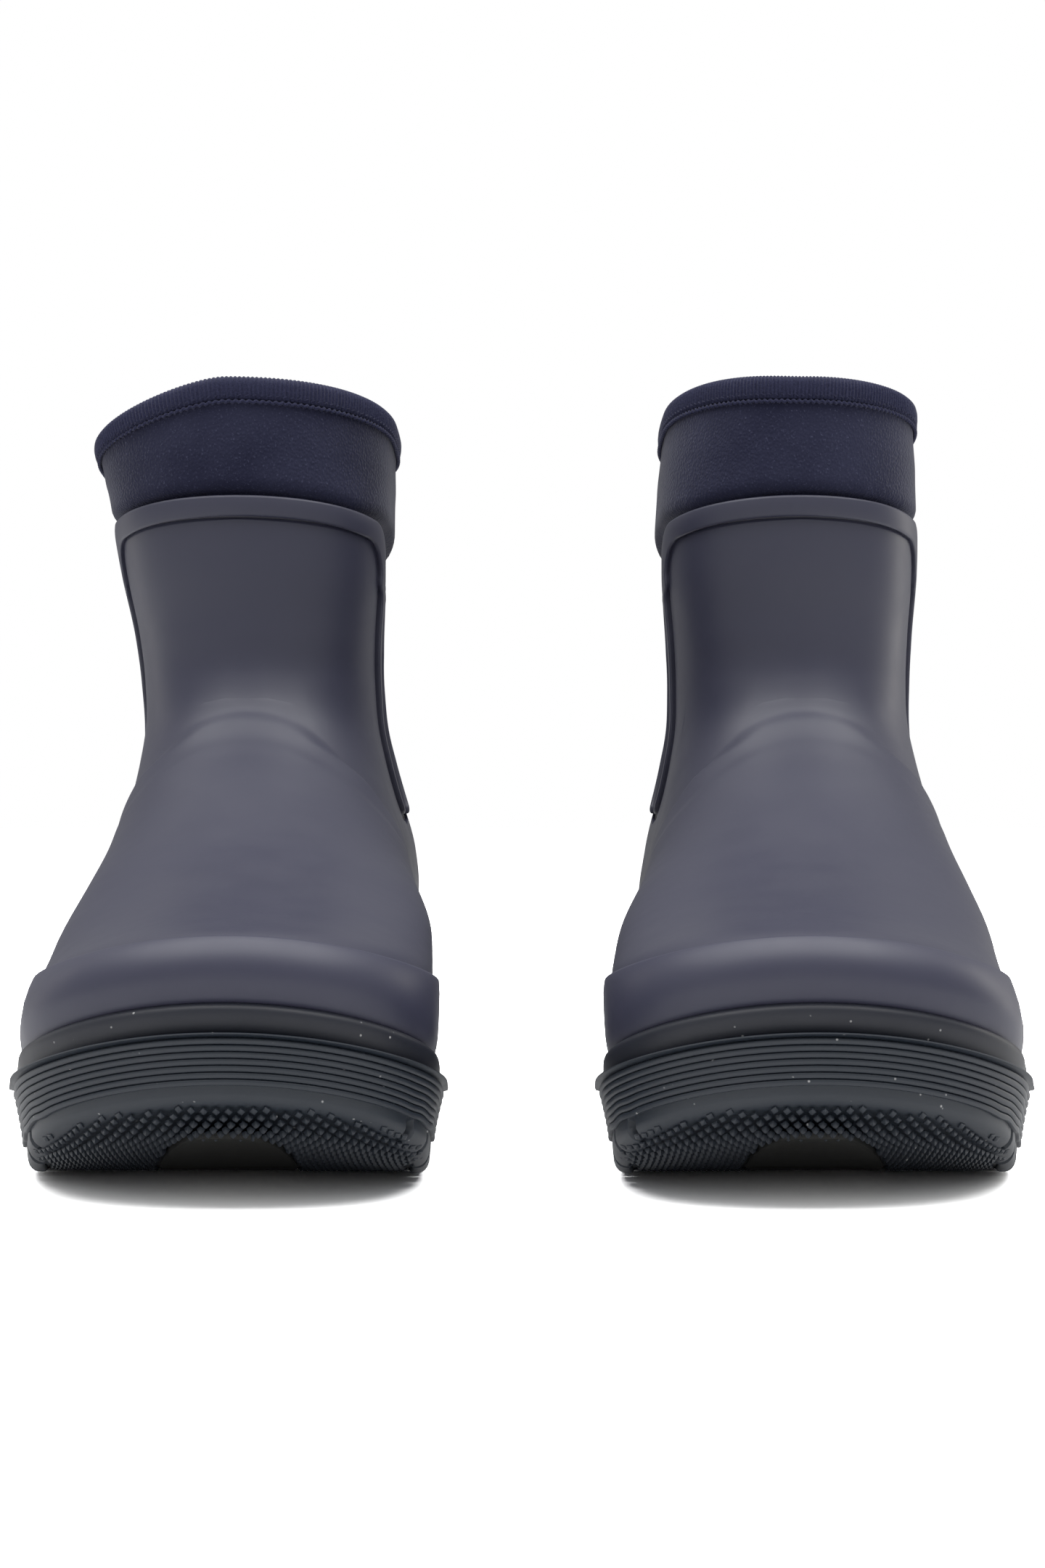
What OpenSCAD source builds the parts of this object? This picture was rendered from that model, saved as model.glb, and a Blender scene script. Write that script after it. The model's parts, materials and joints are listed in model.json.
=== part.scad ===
// A pair of ankle-high deck boots: a rubber upper over a neoprene bootee, on a siped rubber sole.
// One boot is drawn, as the left one, in its own frame: +X to the outside of the foot, toe towards -Y,
// ground at Z = 0. The right boot is its mirror image.

/* [Boots] */
// Length of the sole over its lip
sole_length = 298; // [285:1:310]
// Width of the sole over its lip, at the ball of the foot
sole_width = 112; // [106:1:118]
// Height of the cuff's top edge at the front
boot_height = 212; // [205:1:220]

/* [Stance] */
// Distance between the two boots' long axes
stance = 154; // [150:1:190]
// How far the left boot's toe turns out, in degrees
left_toe_out = 1; // [-1:0.5:8]
// How far the right boot's toe turns out, in degrees
right_toe_out = 1.5; // [-1:0.5:8]
// How far the left cuff is pushed open on each side
left_spread = 0; // [0:0.5:8]
// How far the right cuff is pushed open on each side
right_spread = 7.5; // [0:0.5:8]

/* [Sheets] */
// Thickness of the rubber upper
rubber = 2.2; // [1.8:0.1:2.3]
// Thickness of the neoprene bootee
neoprene = 3; // [2.5:0.1:3.2]
// Thickness of the bumper round the toe and of the counter round the heel
bumper = 1.5; // [1:0.1:2]
// How far the collar rims stand proud
rim_proud = 1.6; // [1.2:0.1:2]

/* [Sole] */
// Height of the toe above flat ground
toe_spring = 22; // [14:1:24]
// How far the foxing's lip overhangs the foxing's foot
lip = 4.4; // [3:0.2:5]
// Number of ribs round the foxing
ribs = 6; // [3:1:7]
// Depth of the grooves across the tread
groove = 3; // [2:0.25:4]

/* [Hidden] */
gap = 0.35;
liner_gap = 1.1;
// Moves the pair onto the middle of its own bounding box
middle = [0.17, 0.9, 0];
size = [sole_width / 112, sole_length / 298, boot_height / 212];

// Heights of the stack, before the toe is sprung
tread_top = 8.5;
foxing_top = 20.5;
feather = 27;
upper_base = 27.8;
counter_top = 62;
collar = 179;
rear_collar = 169;
cuff_top = 212;
rim_width = 6;
side_rim_width = 3.5;
seam = 86;

// Side view of the upper: [height, distance of its front edge from the middle of the sole], and its back
front = [[20, -144], [27, -145], [36, -145.3], [43, -140.5], [50, -131], [56, -117], [62, -99], [70, -74],
    [80, -45], [92, -17], [104, 4], [116, 18], [128, 24.5], [142, 26], [160, 25.5], [180, 25], [212, 24]];
back = [[20, 142.5], [27, 143.5], [40, 144.5], [60, 143.5], [80, 140], [100, 137], [120, 135.5],
    [145, 136], [165, 138], [185, 139], [212, 140]];
// Plan of the foot: [distance from the middle of the sole, centre line], and its half width
swing = [[-147, -13], [-105, -9], [-62, -4], [-20, -1], [25, 0], [146, 0]];
foot = [[-147, 47.5], [-110, 50.5], [-62, 53.2], [-20, 48.5], [25, 40.5], [60, 37.5], [100, 36.5], [146, 36]];
// How the foot's half width changes with height, at the ball and at the heel
ball = [[20, 0.945], [27, 0.956], [36, 0.959], [42, 0.949], [48, 0.927], [55, 0.903], [62, 0.894],
    [80, 0.892], [104, 0.865]];
heel = [[20, 0.93], [27, 0.956], [40, 1], [60, 1.03], [80, 1.045], [104, 0.961]];
// Half width of the leg: [height, half width]
leg = [[60, 36], [80, 38.4], [96, 36.4], [104, 35.4], [116, 34.1], [128, 34.2], [142, 34.9], [160, 36.5],
    [179, 37], [192, 36.5], [212, 36.5]];
// How far the upper leans to the outside of the foot, as its rubber has settled: [height, left, right]
lean_out = [[30, 0, 0], [36, -0.2, -0.2], [45, -1.5, -1.5], [55, -2.6, -3.6], [65, -2.4, -5],
    [78, -0.2, -3.8], [92, 1.6, -1.5], [108, 2.6, 0.4], [125, 2.6, 1.5], [145, 2.3, 2.5], [165, 2, 3.8],
    [180, 2.1, 4.9], [212, 3.3, 7.2]];
// How much higher the cuff's edge has settled on each side, left boot and right: [inner side, outer side]
cuff_settled = [[3.5, 0], [0, -9]];
// Lengths over which each level rounds off, at its front and at its back
front_round = [[20, 42], [45, 48], [60, 60], [80, 70], [100, 58], [116, 50], [212, 50]];
back_round = [[20, 38], [60, 38], [100, 46], [130, 50], [212, 52]];
// How the levels slope down to the back
lean = [[60, 0], [110, 0.01], [179, 0.09], [212, 0.15]];
// Where the vamp ends, and where the gore begins and ends: [height, distance from the middle of the sole]
vamp_edge = [[20, 34], [45, 26], [75, 19], [88, 19.7], [97, 20.5], [106, 24.5], [113, 26], [118, 25],
    [121, 23.5], [122, 22.3]];
gore_front = [[86, 84], [88, 79], [92, 75.5], [100, 72.5], [120, 69], [150, 65], [179, 61.5]];
gore_back = [[86, 88], [88, 93], [92, 96.5], [100, 99.5], [120, 103], [160, 109], [179, 112]];
// Levels at which the vamp, the quarter and the bootee are all drawn
ridge = [upper_base, 34, 39, 43, 47, 51, 56, 62, 69, 77, 86, 95, 103, 110, 116, 119.5, 121];
// Shares of the way from the toe to the vamp's edge, and from the seam to the heel, between corners
toe_shares = [0, 0.04, 0.085, 0.13, 0.18, 0.245, 0.35, 0.52, 0.72, 1];
heel_shares = [0, 0.2, 0.43, 0.6, 0.73, 0.87, 1];

function slope(table, i) = (table[i + 1][1] - table[i][1]) / (table[i + 1][0] - table[i][0]);
function tangent(table, i) =
    i == 0 ? slope(table, 0)
    : i == len(table) - 1 ? slope(table, i - 1)
    : let (a = table[i][0] - table[i - 1][0], b = table[i + 1][0] - table[i][0])
        (slope(table, i - 1) * b + slope(table, i) * a) / (a + b);
// A smooth curve through a table's points, level past its ends
function curve(table, x) =
    let (k = max(0, min(len(table) - 2, len([for (p = table) if (p[0] <= x) 1]) - 1)))
    let (h = table[k + 1][0] - table[k][0], s = clamp((x - table[k][0]) / h))
    let (a = tangent(table, k) * h, b = tangent(table, k + 1) * h, d = table[k + 1][1] - table[k][1])
    table[k][1] + s * (a + s * ((3 * d - 2 * a - b) + s * (a + b - 2 * d)));
function clamp(x) = min(1, max(0, x));
function ease(x) = let (s = clamp(x)) s * s * (3 - 2 * s);
function mix(a, b, s) = a + (b - a) * s;
function unit(v) = v / norm(v);
function rounding(s) = sqrt(1 - pow(1 - clamp(s), 2.4));
function backwards(list) = [for (i = [len(list) - 1:-1:0]) list[i]];
function flat(lists) = [for (l = lists) each l];

function spring(y) = toe_spring * pow(max(0, -50 - y) / 97, 2.2);
function settled(z, s) =
    ease((z - collar) / (cuff_top - collar)) * cuff_settled[$boot - 1][s < 0 ? 0 : 1]
        * 1.25 * s * s / (abs(s) + 0.25);
function opened(z) = $spread * pow(max(0, z - 130) / 82, 1.8);
function half_width(y, z) =
    let (foot_here = curve(foot, y) * mix(curve(ball, z), curve(heel, z), ease((y + 20) / 80)))
    mix(foot_here, curve(leg, z) + opened(z), ease((z - 60) / 52))
        * rounding((y - curve(front, z)) / curve(front_round, z))
        * rounding((curve(back, z) - y) / curve(back_round, z));
// A point of the upper: t is a turn from the toe, out round the heel and back; z is the level
function skin(t, z) =
    let (f = curve(front, z), y = f + (curve(back, z) - f) * (1 - cos(360 * t)) / 2)
    let (side = sin(360 * t) < 0 ? -1 : 1, drift = curve([for (p = lean_out) [p[0], p[$boot]]], z))
    let (x = curve(swing, y) * (1 - ease((z - 60) / 52)) + drift, out = side * half_width(y, z))
    [(x + out) * size.x, y * size.y,
        (z + spring(y) - curve(lean, z) * (y - 25) + settled(z, out / 40)) * size.z];
function lifted(t, z, off) =
    let (n = unit(cross(skin(t + 0.004, z) - skin(t - 0.004, z), skin(t, z + 0.4) - skin(t, z - 0.4))))
    skin(t, z) + off * n;
// The turn at which a level passes a distance y from the middle of the sole
function turn(y, z) =
    let (f = curve(front, z), b = curve(back, z)) acos(1 - 2 * clamp((y - f) / (b - f))) / 360;
// Turns of a level's corners: from the toe to the vamp's edge, then to the seam, and on to the heel
function vamp_turn(z) = turn(curve(vamp_edge, z), z);
function toe_turns(z) = [for (s = toe_shares) vamp_turn(z) * s];
function heel_turns(start, z) = let (t = turn(start, z)) [for (s = heel_shares) mix(t, 0.5, s)];
function level_turns(z) = let (k = min(z, 103), half = concat(toe_turns(k), heel_turns(seam, k)))
    concat(half, [for (i = [len(half) - 2:-1:1]) 1 - half[i]]);
function ring(z, off) = [for (t = level_turns(max(upper_base, z))) lifted(t, z, off)];
// A point of the sole's edge: the upper's feather line moved out by off, at height z
function edge(t, z, off) =
    let (p = skin(t, feather), d = skin(t + 0.004, feather) - skin(t - 0.004, feather), n = unit([d.y, -d.x]))
    [p.x + n.x * off, p.y + n.y * off, (z + spring(p.y / size.y)) * size.z];
function sole_ring(z, off) = [for (t = level_turns(upper_base)) edge(t, z, off)];

// A solid through rings of points, each right-handed about the way the rings go. Unless it is closed on
// itself, each end is capped across, from the nose back where the rings have one.
module loft(rings, closed = false, nose = true) {
    rows = len(rings);
    n = len(rings[0]);
    function at(i, j) = (i % rows) * n + j % n;
    sides = [for (i = [0:rows - (closed ? 1 : 2)], j = [0:n - 1]) each nose || j < n / 2
        ? [[at(i, j), at(i + 1, j), at(i + 1, j + 1)], [at(i, j), at(i + 1, j + 1), at(i, j + 1)]]
        : [[at(i, j), at(i + 1, j), at(i, j + 1)], [at(i + 1, j), at(i + 1, j + 1), at(i, j + 1)]]];
    pairs = nose ? [for (j = [1:n / 2 - 2]) [j, j + 1, n - j - 1, n - j]]
        : [for (j = [0:n / 2 - 2]) [j, j + 1, n - 2 - j, n - 1 - j]];
    tips = nose ? [[0, 1, n - 1], [n / 2 - 1, n / 2, n / 2 + 1]] : [];
    cap = concat(tips, flat([for (p = pairs) [[p[0], p[1], p[2]], [p[0], p[2], p[3]]]]));
    last = (rows - 1) * n;
    ends = concat(cap, [for (f = cap) [last + f[2], last + f[1], last + f[0]]]);
    polyhedron(flat(rings), closed ? sides : concat(sides, ends));
}
// A strip of points outside, and the same strip inside, as one ring
function strip(path, outer, inner) =
    concat([for (p = path) lifted(p[0], p[1], outer)], backwards([for (p = path) lifted(p[0], p[1], inner)]));

// Bottom to top: the sole
function bar(from, to) = [[from, 0], [to, 0], [to + 0.4, groove], [to + 0.6, groove]];
forefoot = [for (y = [-139:9:-70]) [y, y + 6.8]];
ball_bars = [[-64, -57], [-51, -45.4], [-42.4, -36.8], [-33.8, -28.2], [-25.2, -19.6], [-16.6, -8], [-4, 6]];
heel_bars = [[62, 74], [78, 87], [91, 100], [104, 113], [117, 125], [129, 136]];
treads = concat(forefoot, ball_bars, heel_bars);
stations = flat([for (b = treads) [[b[0] - 0.4, groove], [b[0], 0], [b[1], 0], [b[1] + 0.4, groove]]]);
function waist(y) = 3.5 * ease((y - 10) / 16) * ease((60 - y) / 16);
// How far the tread's foot is tucked in under its side: most at the toe
function tuck(y) = 3 + 9 * ease((-92 - y) / 45);
// The tread's outline at a share of its height: 0 at its foot, 1 where its side begins
function tread_row(share, height) = let (
    turns = concat([0], [for (s = stations) turn(s[0], feather)], [0.5]),
    ys = concat([-145], [for (s = stations) s[0]], [145]),
    feet = concat([groove], [for (s = stations) s[1] + waist(s[0])], [groove]),
    half = [for (i = [0:len(turns) - 1])
        [turns[i], mix(feet[i], height, share), 0.7 * share - (1 - share) * tuck(ys[i])]],
    other = [for (i = [len(turns) - 2:-1:1]) [1 - half[i][0], half[i][1], half[i][2]]])
    [for (p = concat(half, other)) edge(p[0], p[1], p[2])];
module outsole()
    loft([tread_row(0, tread_top), tread_row(0.72, 5.5), tread_row(1, 5.5), tread_row(1, tread_top)]);
module foxing() {
    pitch = (foxing_top - tread_top - gap) / ribs;
    function flare(k) = 1 + lip * pow(k / ribs, 1.4);
    outside = flat([for (k = [0:ribs - 1]) let (z = tread_top + gap + k * pitch) [
        sole_ring(z, flare(k) - 0.8), sole_ring(z + 0.5 * pitch, flare(k + 0.5))]]);
    loft(concat(outside, [sole_ring(foxing_top, flare(ribs)), sole_ring(foxing_top, -3),
        sole_ring(tread_top + gap, -3)]), closed = true);
}
module filler()
    loft([sole_ring(tread_top + gap, -3.4), sole_ring(18.5, -3.4)]);
module insole_board()
    loft([sole_ring(18.9, -3.4), sole_ring(20.9, -3.4)]);
module welt()
    loft([for (p = [[20.9, -2.4], [20.9, 1], [22.2, 2.2], [24.2, 2.6], [26, 1.9], [feather, 0.4],
        [feather, -2.4]]) sole_ring(p[0], p[1])], closed = true);
module footbed()
    loft([for (p = [[26, -9.5], [27, -8.4], [30, -8], [31, -8.8]]) sole_ring(p[0], p[1])]);

// The bootee, and what finishes its cuff
stitches = 18;
function bootee_off(z) =
    -rubber - liner_gap - 3.5 * pow(1 - ease((z - 21) / 9), 2)
        + (rubber + liner_gap) * ease((z - collar - 0.5) / 6);
module bootee() {
    outside = concat([21.8, 23.5], [for (i = [0:len(ridge) - 3]) ridge[i]],
        [120, 127, 136, 150, 178.5, 185, 196, 210.5]);
    inside = [210.5, 185, 178.5, 142, 116, 95, 78, 66, 56, 47, 40, 33, 24.6];
    loft(concat([for (z = outside) ring(z, bootee_off(z))],
        [for (z = inside) ring(z, bootee_off(z) - neoprene)]));
}
module cuff_binding()
    loft([for (p = [[-6.5, 0.4], [-5.8, 1], [-0.8, 1], [0, 0], [0, -neoprene - 0.5], [-6.3, -neoprene - 1.2],
        [-6.3, -neoprene - 0.5], [-1, -neoprene - 0.5], [-1, 0.4]])
        ring(cuff_top + p[0], p[1])], closed = true);
module cuff_cord()
    loft([for (a = [0:72:288]) ring(cuff_top - 7.4 + 0.6 * sin(a), 0.9 + 0.6 * cos(a))], closed = true);
module cuff_stitching()
    for (k = [0:stitches - 1])
        let (z = cuff_top - 5, a = [(k + 0.2) / stitches, z], b = [(k + 0.8) / stitches, z], up = [0, 0.7])
        loft([strip([b, b + up], 2, 1.4), strip([a, a + up], 2, 1.4)], nose = false);

// The upper's sheets
module vamp() {
    function across(z) = let (half = toe_turns(z))
        [for (k = [1 - len(half):len(half) - 1]) [sign(k) * half[abs(k)], z]];
    loft([for (z = ridge) strip(across(z), 0.9 * ease((z - 52) / 25), -rubber)], nose = false);
}
// The bumper's top edge, lowest at the toe
function bumper_top(y) = 43.6 + 4.9 * ease((y + 146) / 75);
// A point of the bumper: corner k from the toe, and a share of its height in two steps
function bumper_point(k, share) = let (toe = toe_turns(39), past = abs(k) - len(toe),
        y = past < 0 ? skin(toe[abs(k)], 44).y / size.y : [56, seam - 1.2][past],
        z = share < 1 ? mix(upper_base, 39, share) : mix(39, bumper_top(y), share - 1))
    [sign(k) * (past < 0 ? toe[abs(k)] : turn(y, z)), z];
module bumper() {
    n = len(toe_shares) + 1;
    loft([for (p = [[0, 1.3], [0.15, bumper + gap], [0.55, bumper + gap], [1, bumper + gap],
        [1.45, bumper + gap], [1.85, bumper + gap], [2, 1.2]])
        strip([for (k = [-n:n]) bumper_point(k, p[0])], p[1], 0.5)], nose = false);
}
function behind(start, z) = let (half = heel_turns(start, z))
    concat([for (t = half) [t, z]], [for (i = [len(half) - 2:-1:0]) [1 - half[i], z]]);
module counter()
    loft([for (p = [[upper_base, 1.3], [30, bumper + gap], [39, bumper + gap], [51, bumper + gap],
        [61, bumper + gap], [counter_top, 1.2]]) strip(behind(seam + 1.2, p[0]), p[1], gap)], nose = false);
// The quarter: one sheet over the instep, down both sides to the sole, and up to the collar rim
function patch(low, high, middle, side, u, v) =
    (1 - v) * low + v * high + (1 - u) * middle + u * side
        - (1 - u) * (1 - v) * [0, 122.6] - u * (1 - v) * [turn(seam - 0.4, upper_base), upper_base]
        - (1 - u) * v * [0, collar - rim_width - 0.4] - u * v * quarter_corner();
function quarter_corner() =
    let (z = collar - rim_width - 0.4) [turn(curve(gore_front, z) - side_rim_width - 0.4, z), z];
module quarter() {
    top = collar - rim_width - 0.4;
    levels = [0, 0.08, 0.2, 0.32, 0.41, 0.435, 0.465, 0.51, 0.61, 0.74, 0.87, 1];
    lows = concat([[0, 122.6]],
        [for (z = backwards(ridge)) [turn(curve(vamp_edge, z) + 0.5, z), z]],
        [for (y = [58, seam - 0.4]) [turn(y, upper_base), upper_base]]);
    cols = len(lows) - 1;
    function side(v) = let (z = mix(upper_base, top, v))
        [turn(z < 87 ? seam - 0.4 : curve(gore_front, max(88.5, z)) - side_rim_width - 0.4, z), z];
    function point(i, v) = let (u = i / cols, high = [quarter_corner()[0] * u, top])
        patch(lows[i], high, [0, mix(122.6, top, v)], side(v), u, v);
    function row(v) = let (half = [for (i = [0:cols]) point(i, v)])
        concat([for (i = [cols:-1:1]) [-half[i][0], half[i][1]]], half);
    loft([for (v = levels) strip(row(v), 0, -rubber)], nose = false);
}
module rear_panel() {
    top = rear_collar - rim_width - 0.4;
    function start(z) = z < 87 ? seam + 0.4 : curve(gore_back, max(88.5, z)) + side_rim_width + 0.4;
    loft([for (z = [upper_base, 39, 51, 62, 74, 86.5, 88.5, 93, 103, 118, 136, top])
        strip(behind(start(z), z), 0, -rubber)], nose = false);
}
// A rim: its inner and outer edges run up one gore, along the collar and down the other gore
function rim_section(p, q) = concat([lifted(p[0], p[1], -rubber), lifted(p[0], p[1], 0.8)],
    [for (s = [0.3, 0.7]) lifted(mix(p[0], q[0], s), mix(p[1], q[1], s), rim_proud)],
    [lifted(q[0], q[1], 0.8), lifted(q[0], q[1], -rubber)]);
module front_rim() {
    low = collar - rim_width;
    up = [for (z = [89, 93, 99, 108, 120, 136, 154, 169])
        [[turn(curve(gore_front, z) - side_rim_width, z), z], [turn(curve(gore_front, z), z), z]]];
    c = turn(curve(gore_front, low) - side_rim_width, low);
    corner = [[[c, low], [turn(curve(gore_front, collar) - 3, collar - 3), collar - 3]]];
    over = [for (s = [0.86, 0.66, 0.44, 0.22]) [[c * s, low], [c * s * 1.03, collar]]];
    half = concat(up, corner, over);
    other = [for (p = backwards(half)) [[-p[0][0], p[0][1]], [-p[1][0], p[1][1]]]];
    loft([for (p = concat(half, [[[0, low], [0, collar]]], other)) rim_section(p[0], p[1])], nose = false);
}
module rear_rim() {
    low = rear_collar - rim_width;
    up = [for (z = [89, 93, 99, 108, 120, 136, low - 4])
        [[turn(curve(gore_back, z) + side_rim_width, z), z], [turn(curve(gore_back, z), z), z]]];
    c = turn(curve(gore_back, low) + side_rim_width, low);
    corner = [[[c, low], [turn(curve(gore_back, rear_collar) + 3, rear_collar - 3), rear_collar - 3]]];
    over = [for (s = [0.86, 0.64, 0.42, 0.2]) let (t = mix(0.5, c, s)) [[t, low], [t, rear_collar]]];
    half = concat(up, corner, over);
    other = [for (p = half) [[1 - p[0][0], p[0][1]], [1 - p[1][0], p[1][1]]]];
    loft([for (p = concat(other, [[[0.5, low], [0.5, rear_collar]]], backwards(half)))
        rim_section(p[0], p[1])], nose = false);
}
module gore(sign) {
    function at(u, v) =
        let (z = mix(90, mix(collar - 12, rear_collar - 10, u), v))
        let (t = turn(mix(curve(gore_front, z) + 0.6, curve(gore_back, z) - 0.6, u), z))
        [sign > 0 ? t : 1 - t, z];
    across = sign > 0 ? [0:5] : [5:-1:0];
    loft([for (v = [0, 0.08, 0.2, 0.4, 0.6, 0.8, 1]) strip([for (k = across) at(k / 5, v)], -0.7, -2)],
        nose = false);
}

rubber_navy = [0.055, 0.06, 0.095];
bumper_navy = [0.06, 0.062, 0.11];
sole_navy = [0.045, 0.055, 0.075];
knit_navy = [0.035, 0.038, 0.085];
black = [0.02, 0.02, 0.024];

module left() {
    $boot = 1;
    $spread = left_spread;
    translate([stance / 2, 0, 0] + middle)
        rotate([0, 0, left_toe_out])
            children();
}
module right() {
    $boot = 2;
    $spread = right_spread;
    translate([-stance / 2, 0, 0] + middle)
        rotate([0, 0, -right_toe_out])
            mirror([1, 0, 0])
                children();
}

module left_outsole()
    color(sole_navy)
        left()
            outsole();
module left_foxing()
    color(sole_navy)
        left()
            foxing();
module left_welt()
    color(sole_navy)
        left()
            welt();
module left_filler()
    color(black)
        left()
            filler();
module left_insole_board()
    color([0.55, 0.45, 0.32])
        left()
            insole_board();
module left_footbed()
    color([0.1, 0.11, 0.14])
        left()
            footbed();
module left_bootee()
    color(knit_navy)
        left()
            bootee();
module left_cuff_binding()
    color(knit_navy)
        left()
            cuff_binding();
module left_cuff_cord()
    color(knit_navy)
        left()
            cuff_cord();
module left_cuff_stitching()
    color(knit_navy)
        left()
            cuff_stitching();
module left_vamp()
    color(rubber_navy)
        left()
            vamp();
module left_bumper()
    color(bumper_navy)
        left()
            bumper();
module left_counter()
    color(rubber_navy)
        left()
            counter();
module left_quarter()
    color(rubber_navy)
        left()
            quarter();
module left_rear_panel()
    color(rubber_navy)
        left()
            rear_panel();
module left_front_rim()
    color(rubber_navy)
        left()
            front_rim();
module left_rear_rim()
    color(rubber_navy)
        left()
            rear_rim();
module left_outer_gore()
    color(black)
        left()
            gore(1);
module left_inner_gore()
    color(black)
        left()
            gore(-1);
module right_outsole()
    color(sole_navy)
        right()
            outsole();
module right_foxing()
    color(sole_navy)
        right()
            foxing();
module right_welt()
    color(sole_navy)
        right()
            welt();
module right_filler()
    color(black)
        right()
            filler();
module right_insole_board()
    color([0.55, 0.45, 0.32])
        right()
            insole_board();
module right_footbed()
    color([0.1, 0.11, 0.14])
        right()
            footbed();
module right_bootee()
    color(knit_navy)
        right()
            bootee();
module right_cuff_binding()
    color(knit_navy)
        right()
            cuff_binding();
module right_cuff_cord()
    color(knit_navy)
        right()
            cuff_cord();
module right_cuff_stitching()
    color(knit_navy)
        right()
            cuff_stitching();
module right_vamp()
    color(rubber_navy)
        right()
            vamp();
module right_bumper()
    color(bumper_navy)
        right()
            bumper();
module right_counter()
    color(rubber_navy)
        right()
            counter();
module right_quarter()
    color(rubber_navy)
        right()
            quarter();
module right_rear_panel()
    color(rubber_navy)
        right()
            rear_panel();
module right_front_rim()
    color(rubber_navy)
        right()
            front_rim();
module right_rear_rim()
    color(rubber_navy)
        right()
            rear_rim();
module right_outer_gore()
    color(black)
        right()
            gore(1);
module right_inner_gore()
    color(black)
        right()
            gore(-1);

left_outsole();
left_foxing();
left_welt();
left_filler();
left_insole_board();
left_footbed();
left_bootee();
left_cuff_binding();
left_cuff_cord();
left_cuff_stitching();
left_vamp();
left_bumper();
left_counter();
left_quarter();
left_rear_panel();
left_front_rim();
left_rear_rim();
left_outer_gore();
left_inner_gore();
right_outsole();
right_foxing();
right_welt();
right_filler();
right_insole_board();
right_footbed();
right_bootee();
right_cuff_binding();
right_cuff_cord();
right_cuff_stitching();
right_vamp();
right_bumper();
right_counter();
right_quarter();
right_rear_panel();
right_front_rim();
right_rear_rim();
right_outer_gore();
right_inner_gore();
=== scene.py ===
"""Looks of a pair of deck boots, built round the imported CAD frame. Lengths below are millimetres of one
boot's own frame (+X to the outside of the foot, toe towards -Y, ground at Z = 0) until placed."""
import json
import math

import bpy
import numpy as np
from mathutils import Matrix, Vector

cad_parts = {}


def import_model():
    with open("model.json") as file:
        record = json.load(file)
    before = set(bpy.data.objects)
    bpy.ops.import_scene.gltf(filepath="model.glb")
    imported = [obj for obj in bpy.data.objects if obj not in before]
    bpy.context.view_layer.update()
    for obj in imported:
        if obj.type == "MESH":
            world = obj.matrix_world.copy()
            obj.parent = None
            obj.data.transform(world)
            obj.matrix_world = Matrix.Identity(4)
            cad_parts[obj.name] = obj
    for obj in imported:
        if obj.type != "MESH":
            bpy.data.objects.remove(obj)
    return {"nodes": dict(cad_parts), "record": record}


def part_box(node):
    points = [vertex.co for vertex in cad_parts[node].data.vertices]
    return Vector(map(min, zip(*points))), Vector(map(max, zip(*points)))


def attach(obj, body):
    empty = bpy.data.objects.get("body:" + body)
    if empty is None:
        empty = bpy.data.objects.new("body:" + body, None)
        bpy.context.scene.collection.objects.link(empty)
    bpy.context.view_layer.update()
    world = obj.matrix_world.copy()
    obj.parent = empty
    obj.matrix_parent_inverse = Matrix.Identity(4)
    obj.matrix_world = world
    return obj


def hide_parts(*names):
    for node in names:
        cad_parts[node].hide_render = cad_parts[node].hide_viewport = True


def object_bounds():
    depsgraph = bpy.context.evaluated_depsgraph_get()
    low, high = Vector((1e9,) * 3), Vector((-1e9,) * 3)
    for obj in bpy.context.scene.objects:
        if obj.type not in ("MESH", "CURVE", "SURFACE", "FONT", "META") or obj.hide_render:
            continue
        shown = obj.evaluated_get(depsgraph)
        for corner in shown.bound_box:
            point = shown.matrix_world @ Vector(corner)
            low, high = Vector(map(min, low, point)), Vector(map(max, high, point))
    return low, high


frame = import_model()
cad_low, cad_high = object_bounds()

# ---------------------------------------------------------------- the boot's shape
# Heights: where the upper meets the sole, the sheets' lower edge, the tread, the foxing, the toe's rise
FEATHER, SHEET_FOOT = 27.0, 27.5
TREAD_SIDE_TOP, TREAD_TOP = 5.3, 8.5
FOXING_TOP = 20.5
TOE_SPRING = 22.0
# The fold's highest point over the instep, and a gore's lower tip
FOLD_TOP, GORE_TIP = 121.8, 88.5
# From the middle of the sole to halfway between the two rests
REST_MIDDLE = 41.6
COLLAR, REAR_COLLAR, CUFF_TOP = 179.0, 169.0, 212.0
RIM_WIDTH, SIDE_RIM_WIDTH, RIM_GAP = 6.0, 3.5, 0.4
# Radii of a rim's corner where it turns from the collar down the gore, beside the sheet and outside
RIM_INSIDE, RIM_OUTSIDE = 13.0, 11.0
# How much lower the collar runs at its front corners than in the middle
COLLAR_FALL = 2.6
# Where the quarter meets the rear panel under the gore, from the middle of the sole
SEAM = 86.0
# Thicknesses of the sheets, and how far the sole's lip stands out
RUBBER, NEOPRENE, LIP = 2.2, 3.0, 4.4
# How much wider each boot's cuff stands open on each side
SPREAD = {"left": 0.0, "right": 7.5}
# How far each level leans to the outside of the foot: [height, distance]
LEAN_OUT = {
    "left": [[30, 0], [36, -0.2], [45, -1.5], [55, -2.6], [65, -2.4], [78, -0.2], [92, 1.6], [108, 2.6],
             [125, 2.6], [145, 2.3], [165, 2], [180, 2.1], [212, 3.3]],
    "right": [[30, 0], [36, -0.2], [45, -1.5], [55, -3.6], [65, -5], [78, -3.8], [92, -1.5], [108, 0.4],
              [125, 1.5], [145, 2.5], [165, 3.8], [180, 4.9], [212, 7.2]]}
# How much higher the cuff's edge has settled on each side: inner, outer
CUFF_SETTLED = {"left": (3.5, 0.0), "right": (0.0, -9.0)}

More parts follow.
